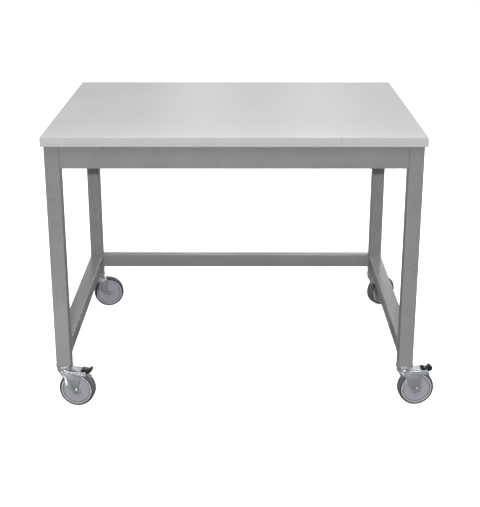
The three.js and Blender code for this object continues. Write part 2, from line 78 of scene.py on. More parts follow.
studio = {
    "floorSize": 60.0,
    "skyBright": 0.62,  # above and behind the table
    "skyDark": 0.02,  # in front of it and low at the sides
    "skySeen": 1.0,  # to the camera, beyond the floor
    "skyTowards": (0.10, 0.45, 0.90),
    "skyRange": (-0.25, 0.75),  # cosines to that direction where the sky is dark and bright
    "floorGlow": 0.80,  # to the camera
    "floorMirrored": 0.15,  # in glossy surfaces
    "floorBounce": 0.12,
}
lamps = {
    "keyLamp": {  # lights matt surfaces from the front
        "power": 170.0, "size": (0.06, 0.06), "glossy": False,
        "place": (0.0, -5.2, 1.30), "aim": (0.0, 0.0, -0.35),
    },
    "keyGlint": {  # gives the glints on bright metal
        "power": 130.0, "size": (0.06, 0.06), "diffuse": False,
        "place": (0.0, -5.2, 4.0), "aim": (0.0, 0.0, -0.6),
    },
    "frontCeiling": {  # ceiling light over the front
        "power": 17.5, "size": (3.0, 0.6),
        "place": (0.0, -1.2, 2.1), "aim": (0.0, 0.0, -0.1),
    },
    "frontStrip": {  # lifts the front of the board
        "power": 1.2, "size": (2.0, 0.3),
        "place": (0.15, -0.95, 1.1), "aim": (0.15, -0.35, 0.0),
    },
    "leftCeiling": {  # ceiling light at the left
        "power": 16.0, "size": (1.0, 1.6),
        "place": (-2.4, 0.3, 1.9), "aim": (-0.2, 0.0, -0.2),
    },
    "rightCeiling": {  # ceiling light at the right
        "power": 38.0, "size": (1.0, 1.6),
        "place": (2.4, 0.3, 1.9), "aim": (0.2, 0.0, -0.2),
    },
    "edgeStrip": {  # brightens the board along its front edge
        "power": 0.11, "size": (1.0, 0.02),
        "place": (0.0, -0.40, 0.10), "aim": (0.0, -0.40, 0.0),
    },
    "leftWindow": {  # left band of sheen on the board
        "power": 2.4, "size": (0.35, 0.9),
        "place": (-0.25, 4.2, 0.87), "aim": (-0.05, 0.0, 0.0),
    },
    "rightWindow": {  # right band of sheen on the board
        "power": 2.3, "size": (0.40, 0.9),
        "place": (0.52, 4.2, 0.87), "aim": (0.1, 0.0, 0.0),
    },
    "lowWindow": {  # low light from behind
        "power": 5.0, "size": (0.15, 0.5),
        "place": (0.85, 3.2, -0.35), "aim": (0.0, 0.0, -0.40),
    },
    "rearFill": {  # fills the rear, below the board
        "power": 12.0, "size": (3.0, 0.6),
        "place": (0.0, 3.2, -0.40), "aim": (0.0, 0.0, -0.40),
    },
    "floorPool": {  # light from the floor in front
        "power": 1.15, "size": (1.8, 0.4),
        "place": (0.0, -0.80, -0.76), "aim": (0.0, -0.80, 0.0),
    },
    "leftPool": {  # light from the floor at the left front
        "power": 1.45, "size": (0.8, 0.4),
        "place": (-0.55, -0.95, -0.76), "aim": (-0.55, -0.95, 0.0),
    },
    "underGlow": {  # light on the rear casters
        "power": 0.42, "size": (0.9, 0.24),
        "place": (0.0, -0.20, -0.62), "aim": (0.0, 0.37, -0.60),
    },
    "leftGlint": {  # streak on the left front fork
        "power": 0.025, "size": (0.04, 0.04),
        "place": (-0.56, -0.45, -0.765), "aim": (-0.56, -0.45, 0.0),
    },
    "rightGlint": {  # streak on the right front fork
        "power": 0.012, "size": (0.04, 0.04),
        "place": (0.41, -0.44, -0.765), "aim": (0.41, -0.44, 0.0),
    },
}


def addLamp(name, lamp):
    data = bpy.data.lights.new(name, "AREA")
    data.shape = "RECTANGLE"
    data.size, data.size_y = lamp["size"]
    data.energy = lamp["power"]
    light = bpy.data.objects.new(name, data)
    light.location = lamp["place"]
    towards = Vector(lamp["aim"]) - Vector(lamp["place"])
    light.rotation_euler = towards.to_track_quat("-Z", "Y").to_euler()
    light.visible_camera = False
    light.visible_glossy = lamp.get("glossy", True)
    light.visible_diffuse = lamp.get("diffuse", True)
    scene.collection.objects.link(light)


def addStudio():
    scene.view_settings.view_transform = "Standard"
    world = bpy.data.worlds.new("studioSky")
    world.use_nodes = True
    scene.world = world
    tree = world.node_tree
    coords = tree.nodes.new("ShaderNodeTexCoord")
    toward = addNode(tree, "ShaderNodeVectorMath", operation="DOT_PRODUCT")
    toward.inputs[1].default_value = Vector(studio["skyTowards"]).normalized()
    start, end = studio["skyRange"]
    ramp = addNode(tree, "ShaderNodeMapRange", {"From Min": start, "From Max": end})
    ramp.interpolation_type = "SMOOTHSTEP"
    ramp.inputs["To Min"].default_value = studio["skyDark"]
    ramp.inputs["To Max"].default_value = studio["skyBright"]
    tree.links.new(coords.outputs["Generated"], toward.inputs[0])
    tree.links.new(toward.outputs["Value"], ramp.inputs["Value"])
    background = tree.nodes["Background"]
    background.inputs["Color"].default_value = (1, 1, 1, 1)
    seen = addNode(tree, "ShaderNodeLightPath").outputs["Is Camera Ray"]
    lit = mathNode(tree, "MULTIPLY", ramp.outputs["Result"], mathNode(tree, "SUBTRACT", 1.0, seen))
    shown = mathNode(tree, "MULTIPLY", seen, studio["skySeen"])
    tree.links.new(mathNode(tree, "ADD", lit, shown), background.inputs["Strength"])
    for name, lamp in lamps.items():
        addLamp(name, lamp)

    bm = bmesh.new()
    half = studio["floorSize"] / 2
    square = ((-half, -half), (half, -half), (half, half), (-half, half))
    bm.faces.new([bm.verts.new((x, y, floorHeight)) for x, y in square])
    floor = meshObject("studioFloor", bm, finish["floor"])
    paintFloor()
    print("studio lit:", len(lamps), "lamps")


# The floor looks pale to the camera but returns little light, as a grey floor does
def paintFloor():
    tree = finish["floor"].node_tree
    shader = tree.nodes["Principled BSDF"]
    color = shader.inputs["Base Color"].links[0].from_socket
    path = addNode(tree, "ShaderNodeLightPath")
    seen = path.outputs["Is Camera Ray"]
    tree.links.new(mixColor(tree, seen, grey(studio["floorBounce"]), color), shader.inputs["Base Color"])
    shader.inputs["Emission Color"].default_value = (1, 1, 1, 1)
    glow = mathNode(tree, "MULTIPLY", seen, studio["floorGlow"])
    mirrored = mathNode(tree, "MULTIPLY", path.outputs["Is Glossy Ray"], studio["floorMirrored"])
    tree.links.new(mathNode(tree, "ADD", glow, mirrored), shader.inputs["Emission Strength"])


# Shared shader effects

def effectGroup(name, inputs, outputs):
    group = bpy.data.node_groups.new(name, "ShaderNodeTree")
    for label, kind, value in inputs:
        socket = group.interface.new_socket(label, in_out="INPUT", socket_type=kind)
        socket.default_value = value
    for label, kind in outputs:
        group.interface.new_socket(label, in_out="OUTPUT", socket_type=kind)
    given = group.nodes.new("NodeGroupInput")
    result = group.nodes.new("NodeGroupOutput")
    return group, given, result


def addNode(tree, kind, values=None, **settings):
    node = tree.nodes.new(kind)
    for key, value in settings.items():
        setattr(node, key, value)
    for key, value in (values or {}).items():
        node.inputs[key].default_value = value
    return node


def mathNode(tree, operation, first, second=0.5):
    node = tree.nodes.new("ShaderNodeMath")
    node.operation = operation
    for i, value in enumerate((first, second)):
        if isinstance(value, (int, float)):
            node.inputs[i].default_value = value
        else:
            tree.links.new(value, node.inputs[i])
    return node.outputs[0]


def mixColor(tree, factor, first, second):
    node = tree.nodes.new("ShaderNodeMix")
    node.data_type = "RGBA"
    for socket, value in ((node.inputs[0], factor), (node.inputs[6], first), (node.inputs[7], second)):
        if isinstance(value, bpy.types.NodeSocket):
            tree.links.new(value, socket)
        else:
            socket.default_value = value
    return node.outputs[2]


grainNoise = {
    "fine": {"Detail": 3.0, "Roughness": 0.6},
    "broad": {"Detail": 4.0, "Roughness": 0.55},
    "speck": {"From Min": 0.05, "From Max": 0.30, "To Min": 1.0, "To Max": 0.0},
}


def makeGrainGroup():
    group, given, result = effectGroup(
        "surfaceGrain",
        [
            ("Fine Scale", "NodeSocketFloat", 900.0),
            ("Broad Scale", "NodeSocketFloat", 9.0),
            ("Stretch", "NodeSocketVector", (1, 1, 1)),
        ],
        [("Height", "NodeSocketFloat"), ("Mottle", "NodeSocketFloat"), ("Speck", "NodeSocketFloat")],
    )
    links = group.links
    coords = addNode(group, "ShaderNodeTexCoord")
    scaled = addNode(group, "ShaderNodeVectorMath", operation="MULTIPLY")
    links.new(coords.outputs["Object"], scaled.inputs[0])
    links.new(given.outputs["Stretch"], scaled.inputs[1])
    fine = addNode(group, "ShaderNodeTexNoise", grainNoise["fine"])
    broad = addNode(group, "ShaderNodeTexNoise", grainNoise["broad"])
    cells = addNode(group, "ShaderNodeTexVoronoi", feature="F1")
    for texture, label in ((fine, "Fine Scale"), (broad, "Broad Scale"), (cells, "Fine Scale")):
        links.new(scaled.outputs[0], texture.inputs["Vector"])
        links.new(given.outputs[label], texture.inputs["Scale"])
    speck = addNode(group, "ShaderNodeMapRange", grainNoise["speck"])
    links.new(cells.outputs["Distance"], speck.inputs["Value"])
    links.new(fine.outputs["Fac"], result.inputs["Height"])
    links.new(broad.outputs["Fac"], result.inputs["Mottle"])
    links.new(speck.outputs["Result"], result.inputs["Speck"])
    return group


scuffStrokes = {
    "strokes": ((0.35, 14.0), (1.25, 18.0), (2.4, 11.0)),  # turn and stretch of each layer
    "tilt": 0.2,
    "noise": {"Detail": 1.0, "Roughness": 0.4},
    "line": {"From Min": 0.66, "From Max": 0.74, "To Min": 0.0, "To Max": 1.0},
}


def makeScuffGroup():
    group, given, result = effectGroup(
        "fineScuffs",
        [("Scale", "NodeSocketFloat", 40.0), ("Amount", "NodeSocketFloat", 0.4)],
        [("Scuff", "NodeSocketFloat")],
    )
    links = group.links
    coords = addNode(group, "ShaderNodeTexCoord")
    total = None
    for turn, stretch in scuffStrokes["strokes"]:
        mapping = addNode(group, "ShaderNodeMapping", {
            "Rotation": (0, scuffStrokes["tilt"] * turn, turn),
            "Scale": (1, stretch, stretch / 2),
        })
        links.new(coords.outputs["Object"], mapping.inputs["Vector"])
        streak = addNode(group, "ShaderNodeTexNoise", scuffStrokes["noise"])
        links.new(mapping.outputs["Vector"], streak.inputs["Vector"])
        links.new(given.outputs["Scale"], streak.inputs["Scale"])
        line = addNode(group, "ShaderNodeMapRange", scuffStrokes["line"])
        links.new(streak.outputs["Fac"], line.inputs["Value"])
        layer = line.outputs["Result"]
        total = layer if total is None else mathNode(group, "MAXIMUM", total, layer)
    links.new(mathNode(group, "MULTIPLY", total, given.outputs["Amount"]), result.inputs["Scuff"])
    return group


dustPatches = {"reach": 0.1, "noise": {"Scale": 60.0, "Detail": 5.0, "Roughness": 0.65}}


def makeDustGroup():
    group, given, result = effectGroup(
        "settledDust",
        [
            ("Low", "NodeSocketFloat", floorHeight),
            ("High", "NodeSocketFloat", floorHeight + dustPatches["reach"]),
            ("Amount", "NodeSocketFloat", 0.3),
        ],
        [("Dust", "NodeSocketFloat")],
    )
    links = group.links
    coords = addNode(group, "ShaderNodeTexCoord")
    parts = addNode(group, "ShaderNodeSeparateXYZ")
    links.new(coords.outputs["Object"], parts.inputs["Vector"])
    fade = addNode(group, "ShaderNodeMapRange", {"To Min": 1.0, "To Max": 0.0})
    links.new(parts.outputs["Z"], fade.inputs["Value"])
    links.new(given.outputs["Low"], fade.inputs["From Min"])
    links.new(given.outputs["High"], fade.inputs["From Max"])
    patches = addNode(group, "ShaderNodeTexNoise", dustPatches["noise"])
    links.new(coords.outputs["Object"], patches.inputs["Vector"])
    spread = mathNode(group, "MULTIPLY", fade.outputs["Result"], patches.outputs["Fac"])
    links.new(mathNode(group, "MULTIPLY", spread, given.outputs["Amount"]), result.inputs["Dust"])
    return group


effects = {"grain": makeGrainGroup(), "scuffs": makeScuffGroup(), "dust": makeDustGroup()}


def placeEffect(tree, name, **values):
    node = tree.nodes.new("ShaderNodeGroup")
    node.node_tree = effects[name]
    for key, value in values.items():
        node.inputs[key].default_value = value
    return node


finishMix = {
    "mottle": {"From Min": 0.3, "From Max": 0.7},
    "patchFloor": 0.7,  # share of a mask of wear, painted highlight and painted shade that shows everywhere and the share that comes and goes with the mottle
    "patchSpread": 0.3,  # and the share that comes and goes with the mottle
    "scuffRough": 0.15,
    "dustRough": 0.3,
}


def makeFinish(name, look):
    material = bpy.data.materials.new(name)
    material.use_nodes = True
    tree = material.node_tree
    shader = tree.nodes["Principled BSDF"]
    shader.inputs["Metallic"].default_value = look.get("metallic", 0.0)
    shader.inputs["Specular IOR Level"].default_value = look.get("specular", 0.5)
    grain = placeEffect(tree, "grain", **{
        "Fine Scale": look["grain"],
        "Broad Scale": look["broad"],
        "Stretch": look.get("stretch", (1, 1, 1)),
    })
    mottle = addNode(tree, "ShaderNodeMapRange", finishMix["mottle"])
    tree.links.new(grain.outputs["Mottle"], mottle.inputs["Value"])
    color = mixColor(tree, mottle.outputs["Result"], look["color"], look["second"])
    speckMask = mathNode(tree, "MULTIPLY", grain.outputs["Speck"], look.get("speckAmount", 0.0))
    color = mixColor(tree, speckMask, color, look.get("speck", look["second"]))
    rough = mathNode(tree, "MULTIPLY", mottle.outputs["Result"], look["roughSpread"])
    rough = mathNode(tree, "ADD", rough, look["rough"])
    # wheel masks: tread wear with some painted highlight, a painted highlight on the rim flange, painted
    # shade in the rim groove
    for label in ("wear", "grime"):
        if label in look:
            mask = addNode(tree, "ShaderNodeAttribute", attribute_name=label).outputs["Fac"]
            patchy = mathNode(tree, "MULTIPLY", mottle.outputs["Result"], finishMix["patchSpread"])
            patchy = mathNode(tree, "ADD", patchy, finishMix["patchFloor"])
            color = mixColor(tree, mathNode(tree, "MULTIPLY", mask, patchy), color, look[label])
    if "scuff" in look:
        scuffs = placeEffect(tree, "scuffs", Scale=look["scuffScale"], Amount=look["scuff"])
        color = mixColor(tree, scuffs.outputs["Scuff"], color, look["scuffColor"])
        rougher = mathNode(tree, "MULTIPLY", scuffs.outputs["Scuff"], finishMix["scuffRough"])
        rough = mathNode(tree, "ADD", rough, rougher)
    if "dust" in look:
        dust = placeEffect(tree, "dust", Amount=look["dust"], High=floorHeight + look["dustReach"])
        color = mixColor(tree, dust.outputs["Dust"], color, look["dustColor"])
        rougher = mathNode(tree, "MULTIPLY", dust.outputs["Dust"], finishMix["dustRough"])
        rough = mathNode(tree, "ADD", rough, rougher)
    tree.links.new(color, shader.inputs["Base Color"])
    tree.links.new(rough, shader.inputs["Roughness"])
    bump = addNode(tree, "ShaderNodeBump", {"Strength": look["bump"], "Distance": look["bumpDepth"]})
    tree.links.new(grain.outputs["Height"], bump.inputs["Height"])
    tree.links.new(bump.outputs["Normal"], shader.inputs["Normal"])
    return material


def grey(level, warm=0.0):
    return (level * (1 + warm), level, level * (1 - warm), 1.0)


finishLooks = {
    "laminate": {
        "color": grey(0.449, -0.004), "second": grey(0.474), "rough": 0.42, "roughSpread": 0.04,
        "specular": 0.45,
        "grain": 700.0, "broad": 5.0, "speck": grey(0.50), "speckAmount": 0.10, "bump": 0.10,
        "bumpDepth": 0.0003,
        "scuff": 0.10, "scuffScale": 30.0, "scuffColor": grey(0.72),
    },
    "edging": {
        "color": grey(0.500, -0.004), "second": grey(0.528), "rough": 0.42, "roughSpread": 0.08,
        "grain": 1400.0, "broad": 12.0, "bump": 0.10, "bumpDepth": 0.0002,
        "scuff": 0.12, "scuffScale": 60.0, "scuffColor": grey(0.64),
    },
    "framePaint": {
        "color": grey(0.238), "second": grey(0.264), "rough": 0.27, "roughSpread": 0.10,
        "grain": 850.0, "broad": 14.0, "speck": grey(0.31), "speckAmount": 0.18, "bump": 0.22,
        "bumpDepth": 0.0003,
        "scuff": 0.02, "scuffScale": 45.0, "scuffColor": grey(0.30),
        "dust": 0.25, "dustReach": 0.26, "dustColor": grey(0.34, 0.03),
    },
    "zincPlate": {
        "color": (0.63, 0.66, 0.690, 1), "second": (0.75, 0.775, 0.80, 1), "metallic": 1.0,
        "rough": 0.22, "roughSpread": 0.12,
        "grain": 500.0, "broad": 70.0, "speck": (0.80, 0.80, 0.80, 1), "speckAmount": 0.15,
        "bump": 0.06, "bumpDepth": 0.0002,
        "scuff": 0.25, "scuffScale": 160.0, "scuffColor": (0.50, 0.51, 0.53, 1),
        "dust": 0.30, "dustReach": 0.12, "dustColor": grey(0.30, 0.05),
    },
    "plainSteel": {
        "color": (0.40, 0.405, 0.41, 1), "second": (0.48, 0.48, 0.48, 1), "metallic": 1.0,
        "rough": 0.34, "roughSpread": 0.16,
        "grain": 600.0, "broad": 60.0, "stretch": (1, 6, 1), "bump": 0.10, "bumpDepth": 0.0002,
        "scuff": 0.25, "scuffScale": 140.0, "scuffColor": (0.30, 0.29, 0.28, 1),
    },
    "wheelPlastic": {
        "color": (0.380, 0.385, 0.440, 1), "second": (0.425, 0.427, 0.478, 1), "rough": 0.42,
        "roughSpread": 0.14,
        # a painted highlight on the rim flange, and painted shade in the rim groove
        "wear": (0.66, 0.665, 0.71, 1), "grime": (0.23, 0.23, 0.26, 1),
        "grain": 1100.0, "broad": 45.0, "bump": 0.14, "bumpDepth": 0.0002,
        "scuff": 0.22, "scuffScale": 120.0, "scuffColor": (0.50, 0.50, 0.53, 1),
        "dust": 0.30, "dustReach": 0.09, "dustColor": grey(0.30, 0.05),
    },
    "tyreRubber": {
        "color": grey(0.045), "second": grey(0.062), "rough": 0.62, "roughSpread": 0.20,
        "specular": 0.35,
        # lighter tread, partly worn rubber and partly painted highlight
        "wear": grey(0.20, 0.01),
        "grain": 900.0, "broad": 55.0, "speck": grey(0.13), "speckAmount": 0.25, "bump": 0.35,
        "bumpDepth": 0.0004,
        "scuff": 0.35, "scuffScale": 110.0, "scuffColor": grey(0.15, 0.03),
        "dust": 0.50, "dustReach": 0.05, "dustColor": grey(0.28, 0.06),
    },
    "pedalPlastic": {
        "color": grey(0.012), "second": grey(0.017), "rough": 0.32, "roughSpread": 0.14,
        "specular": 0.3,
        "grain": 1500.0, "broad": 80.0, "bump": 0.30, "bumpDepth": 0.0002,
        "scuff": 0.30, "scuffScale": 170.0, "scuffColor": grey(0.035),
    },
    "bushPlastic": {
        "color": (0.62, 0.62, 0.58, 1), "second": (0.68, 0.67, 0.62, 1), "rough": 0.38,
        "roughSpread": 0.12,
        "grain": 1300.0, "broad": 70.0, "bump": 0.10, "bumpDepth": 0.0002,
    },
    "floor": {
        "color": grey(0.90), "second": grey(0.91), "rough": 0.60, "roughSpread": 0.05, "specular": 0.2,
        "grain": 300.0, "broad": 0.6, "bump": 0.02, "bumpDepth": 0.0002,
    },
}
finish = {name: makeFinish(name, look) for name, look in finishLooks.items()}
print("finishes made:", len(finish))


# Mesh helpers

meshDetail = {
    "sharpAngle": 32,  # degrees from which an edge is shaded sharp
    "cornerShare": 0.48,  # most of an edge that a rounded corner may take up
    "bevelSegments": 2,
    "bevelAngle": 40,
    "mergeDistance": 1e-7,
}


def meshObject(name, bm, material, sharpAngle=meshDetail["sharpAngle"]):
    bmesh.ops.recalc_face_normals(bm, faces=bm.faces)
    mesh = bpy.data.meshes.new(name)
    bm.to_mesh(mesh)
    bm.free()
    mesh.shade_smooth()
    mesh.set_sharp_from_angle(angle=math.radians(sharpAngle))
    mesh.materials.append(material)
    piece = bpy.data.objects.new(name, mesh)
    scene.collection.objects.link(piece)
    return piece


def addPiece(name, bm, finishName, body, replaced=(), sharpAngle=meshDetail["sharpAngle"]):
    piece = meshObject(name, bm, finish[finishName], sharpAngle)
    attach(piece, body)
    if replaced:
        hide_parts(*replaced)


def dressNode(node, finishName):
    materials = frame["nodes"][node].data.materials
    materials.clear()
    materials.append(finish[finishName])


def arcPoints(centre, radius, start, end, steps):
    turns = [math.radians(start + (end - start) * i / steps) for i in range(steps + 1)]
    return [(centre[0] + radius * math.cos(a), centre[1] + radius * math.sin(a)) for a in turns]


def roundCorners(points, radius, steps=4, closed=True):
    rounded = []
    count = len(points)
    for i, point in enumerate(points):
        size = radius[i] if isinstance(radius, (list, tuple)) else radius
        if size <= 0 or (not closed and i in (0, count - 1)):
            rounded.append(point)
            continue
        here = Vector(point)
        before = Vector(points[i - 1]) - here
        after = Vector(points[(i + 1) % count]) - here
        share = meshDetail["cornerShare"]
        reach = min(size, before.length * share, after.length * share)
        first = here + before.normalized() * reach
        last = here + after.normalized() * reach
        for k in range(steps + 1):
            t = k / steps
            rounded.append(tuple(first * (1 - t) ** 2 + here * 2 * t * (1 - t) + last * t * t))
    return rounded


def bridgeRings(bm, rings, capped=True, closed=False):
    loops = [[bm.verts.new(co) for co in ring] for ring in rings]
    pairs = list(zip(loops, loops[1:])) + ([(loops[-1], loops[0])] if closed else [])
    for low, high in pairs:
        for j in range(len(low)):
            k = (j + 1) % len(low)
            bm.faces.new((low[j], low[k], high[k], high[j]))
    if capped and not closed:
        bm.faces.new(list(reversed(loops[0])))
        bm.faces.new(loops[-1])


# A closed profile of (radius, height) pairs, turned about the local Y or Z axis
def turnProfile(profile, segments, axis, place=(0, 0, 0)):
    bm = bmesh.new()
    rings = []
    for i in range(segments):
        a = 2 * math.pi * i / segments
        if axis == "Y":
            rings.append([(r * math.sin(a), h, r * math.cos(a)) for r, h in profile])
        else:
            rings.append([(r * math.cos(a), r * math.sin(a), h) for r, h in profile])
    bridgeRings(bm, rings, capped=False, closed=True)
    bmesh.ops.translate(bm, verts=bm.verts, vec=place)
    bmesh.ops.remove_doubles(bm, verts=bm.verts, dist=meshDetail["mergeDistance"])
    return bm


# An outline drawn out along the local Y or Z axis
def prism(outline, low, high, axis):
    bm = bmesh.new()
    rings = [[(a, h, b) if axis == "Y" else (a, b, h) for a, b in outline] for h in (low, high)]
    bridgeRings(bm, rings)
    return bm


def rod(radius, length, segments, axis, place=(0, 0, 0)):
    outline = arcPoints((0, 0), radius, 0, 360 * (segments - 1) / segments, segments - 1)
    bm = prism(outline, -length / 2, length / 2, axis)
    bmesh.ops.translate(bm, verts=bm.verts, vec=place)
    return bm


# Cuts and joins closed meshes with Blender's boolean, then rounds the sharp edges
def carve(body, steps, edgeRadius):
    tools = []

    def scratchObject(bm):
        bmesh.ops.recalc_face_normals(bm, faces=bm.faces)
        mesh = bpy.data.meshes.new("scratch")
        bm.to_mesh(mesh)
        bm.free()
        made = bpy.data.objects.new("scratch", mesh)
        scene.collection.objects.link(made)
        tools.append(made)
        return made

    target = scratchObject(body)
    for operation, bm in steps:
        modifier = target.modifiers.new(operation, "BOOLEAN")
        modifier.operation = operation
        modifier.solver = "EXACT"
        modifier.object = scratchObject(bm)
    if edgeRadius:
        modifier = target.modifiers.new("edges", "BEVEL")
        modifier.width = edgeRadius
        modifier.segments = meshDetail["bevelSegments"]
        modifier.limit_method = "ANGLE"
        modifier.angle_limit = math.radians(meshDetail["bevelAngle"])
    graph = bpy.context.evaluated_depsgraph_get()
    made = bmesh.new()
    made.from_mesh(target.evaluated_get(graph).to_mesh())
    for tool in tools:
        mesh = tool.data
        bpy.data.objects.remove(tool)
        bpy.data.meshes.remove(mesh)
    return made


# Worktop

edgeBands = (
    "edge_band_left", "edge_band_right", "edge_band_rear", "edge_band_front_long", "edge_band_front_short",
)
bandShape = {"edgeRadius": 1.5 * mm, "steps": 5}
buttJoint = {"ease": 0.7 * mm, "starts": "edge_band_front_short", "ends": "edge_band_front_long"}


def makeEdgeBand(node):
    low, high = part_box(node)
    along = "X" if high.x - low.x > high.y - low.y else "Y"
    across = 1 if along == "X" else 0
    outside = 1 if low[across] + high[across] > 0 else -1
    near, far = sorted((low[across], high[across]), key=lambda v: v * outside)
    radius = bandShape["edgeRadius"]
    ease = buttJoint["ease"]
    start, end = (low.x, high.x) if along == "X" else (low.y, high.y)

    def ring(h, inset):
        face = far - outside * inset
        bottom, top = low.z + inset, high.z - inset
        outline = [(near, bottom), (face, bottom), (face, top), (near, top)]
        outline = roundCorners(outline, [0, radius, radius, 0], bandShape["steps"])
        return [(h, a, b) if along == "X" else (a, h, b) for a, b in outline]

    rings = [ring(start, 0), ring(end, 0)]
    if node == buttJoint["starts"]:
        rings = [ring(start, ease), ring(start + ease, 0), ring(end, 0)]
    if node == buttJoint["ends"]:
        rings = [ring(start, 0), ring(end - ease, 0), ring(end, ease)]
    bm = bmesh.new()
    bridgeRings(bm, rings)
    addPiece(node + "_strip", bm, "edging", frameBody, [node])


def makeWorktop():
    dressNode("worktop_board", "laminate")
    for node in edgeBands:
        makeEdgeBand(node)
    print("worktop dressed")


# Frame tubes, their welds and the screws that hold the board

tubeShape = {"wall": 2 * mm, "cornerRadius": 3.2 * mm, "cornerSteps": 6, "apronThickness": 30 * mm}
weldShape = {
    "radius": 2.6 * mm, "pitch": 1.9 * mm, "ripple": 0.16, "sides": 10, "endMargin": 3.5 * mm,
    "ringsPerRipple": 6, "endShare": 0.35, "endRise": 8, "sharpAngle": 60,
    "topBelow": -0.1,  # only tubes below this height have a weld along the top
}


def tubeRing(a0, a1, b0, b1, radius):
    return roundCorners([(a0, b0), (a1, b0), (a1, b1), (a0, b1)], radius, tubeShape["cornerSteps"])


def makeTube(name, low, high, replaced):
    sizes = [high[i] - low[i] for i in range(3)]
    axis = sizes.index(max(sizes))
    first, second = [i for i in range(3) if i != axis]
    wall = tubeShape["wall"]
    radius = tubeShape["cornerRadius"]
    a0, a1 = low[first], high[first]
    b0, b1 = low[second], high[second]
    outer = tubeRing(a0, a1, b0, b1, radius)
    inner = tubeRing(a0 + wall, a1 - wall, b0 + wall, b1 - wall, radius - wall)

    def placed(ring, height):
        points = []
        for a, b in ring:
            point = [0, 0, 0]
            point[axis], point[first], point[second] = height, a, b
            points.append(tuple(point))
        return points

    bm = bmesh.new()
    start, end = low[axis], high[axis]
    rings = [placed(outer, start), placed(outer, end), placed(inner, end), placed(inner, start)]
    bridgeRings(bm, rings, closed=True)
    addPiece(name, bm, "framePaint", frameBody, replaced)


def apronBox(node):
    low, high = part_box(node)
    thickness = tubeShape["apronThickness"]
    if node in ("front_apron", "left_apron"):
        axis = 1 if node == "front_apron" else 0
        high[axis] = low[axis] + thickness
    else:
        axis = 1 if node == "rear_apron" else 0
        low[axis] = high[axis] - thickness
    return low, high


def weldBead(bm, start, end):
    start, end = Vector(start), Vector(end)
    direction = (end - start).normalized()
    side = direction.orthogonal().normalized()
    other = direction.cross(side)
    length = (end - start).length
    fewest = weldShape["ringsPerRipple"]
    count = max(int(length / (weldShape["pitch"] / fewest)), fewest)
    rings = []
    for i in range(count + 1):
        along = length * i / count
        wave = abs(math.sin(math.pi * along / weldShape["pitch"]))
        taper = min(1.0, weldShape["endShare"] + weldShape["endRise"] * min(i, count - i) / count)
        radius = weldShape["radius"] * taper * (1 - weldShape["ripple"] * (1 - wave))
        centre = start + direction * along
        turns = [2 * math.pi * k / weldShape["sides"] for k in range(weldShape["sides"])]
        rings.append([centre + (side * math.cos(a) + other * math.sin(a)) * radius for a in turns])
    bridgeRings(bm, rings)


def addTubeWelds(name, low, high, outerSide):
    axis = 0 if high.x - low.x > high.y - low.y else 1
    across = 1 - axis
    margin = weldShape["endMargin"]
    inside = low[across] if outerSide > 0 else high[across]
    bm = bmesh.new()
    for end in (low[axis], high[axis]):
        def corner(acrossValue, height):
            point = [0, 0, height]
            point[axis], point[across] = end, acrossValue
            return point
        if high.z < weldShape["topBelow"]:
            weldBead(bm, corner(low[across] + margin, high.z), corner(high[across] - margin, high.z))
        weldBead(bm, corner(low[across] + margin, low.z), corner(high[across] - margin, low.z))
        weldBead(bm, corner(inside, low.z + margin), corner(inside, high.z - margin))
    addPiece(name, bm, "framePaint", frameBody, sharpAngle=weldShape["sharpAngle"])


tabShape = {
    "length": 50 * mm, "reach": 28 * mm, "thickness": 3 * mm, "top": -27.3 * mm, "edge": 0.6 * mm,
    "hole": 2.75 * mm, "holeSegments": 24, "cornerRadius": 4 * mm, "cornerSteps": 5, "fromEnd": 110 * mm,
}
screwShape = {
    "headRadius": 4.6 * mm, "headHeight": 2.6 * mm, "shank": 2.2 * mm, "bite": 1.5 * mm, "segments": 32,
    "slot": 1.1 * mm, "slotDepth": 1.2 * mm, "faceShare": 0.55, "rimShare": 0.9, "rimDrop": 0.6,
}


def makeTab(name, place, inward):
    reach = tabShape["reach"] + tubeShape["wall"]
    half = tabShape["length"] / 2
    top = tabShape["top"]
    radius = tabShape["cornerRadius"]
    outline = [(-half, 0), (half, 0), (half, reach), (-half, reach)]
    outline = roundCorners(outline, [0, 0, radius, radius], tabShape["cornerSteps"])
    plate = prism(outline, top - tabShape["thickness"], top, "Z")
    middle = tubeShape["wall"] + tabShape["reach"] / 2
    hole = rod(tabShape["hole"], 4 * tabShape["thickness"], tabShape["holeSegments"], "Z", (0, middle, top))
    bm = carve(plate, [("DIFFERENCE", hole)], tabShape["edge"])
    facing = math.atan2(inward[1], inward[0]) - math.pi / 2
    turn = Matrix.Translation(place) @ Matrix.Rotation(facing, 4, "Z")
    bmesh.ops.transform(bm, matrix=turn, verts=bm.verts)
    addPiece(name + "_tab", bm, "framePaint", frameBody)

    r, h = screwShape["headRadius"], screwShape["headHeight"]
    shank = screwShape["shank"]
    under = top - tabShape["thickness"]
    tip = top + screwShape["bite"]
    face = r * screwShape["faceShare"]
    rim = (r * screwShape["rimShare"], under - h * screwShape["rimDrop"])
    profile = [(0, under - h), (face, under - h), rim, (r, under), (shank, under), (shank, tip), (0, tip)]
    head = turnProfile(profile, screwShape["segments"], "Z")
    cross = []
    side = screwShape["slot"] / 2
    for turnAngle in (0, math.pi / 2):
        outline = [(-face, -side), (face, -side), (face, side), (-face, side)]
        slot = prism(outline, under - h - mm, under - h + screwShape["slotDepth"], "Z")
        quarter = Matrix.Rotation(turnAngle, 3, "Z")
        bmesh.ops.rotate(slot, verts=slot.verts, cent=(0, 0, 0), matrix=quarter)
        cross.append(("DIFFERENCE", slot))
    screw = carve(head, cross, 0)
    bmesh.ops.translate(screw, verts=screw.verts, vec=(0, middle, 0))
    bmesh.ops.transform(screw, matrix=turn, verts=screw.verts)
    addPiece(name + "_screw", screw, "zincPlate", frameBody)


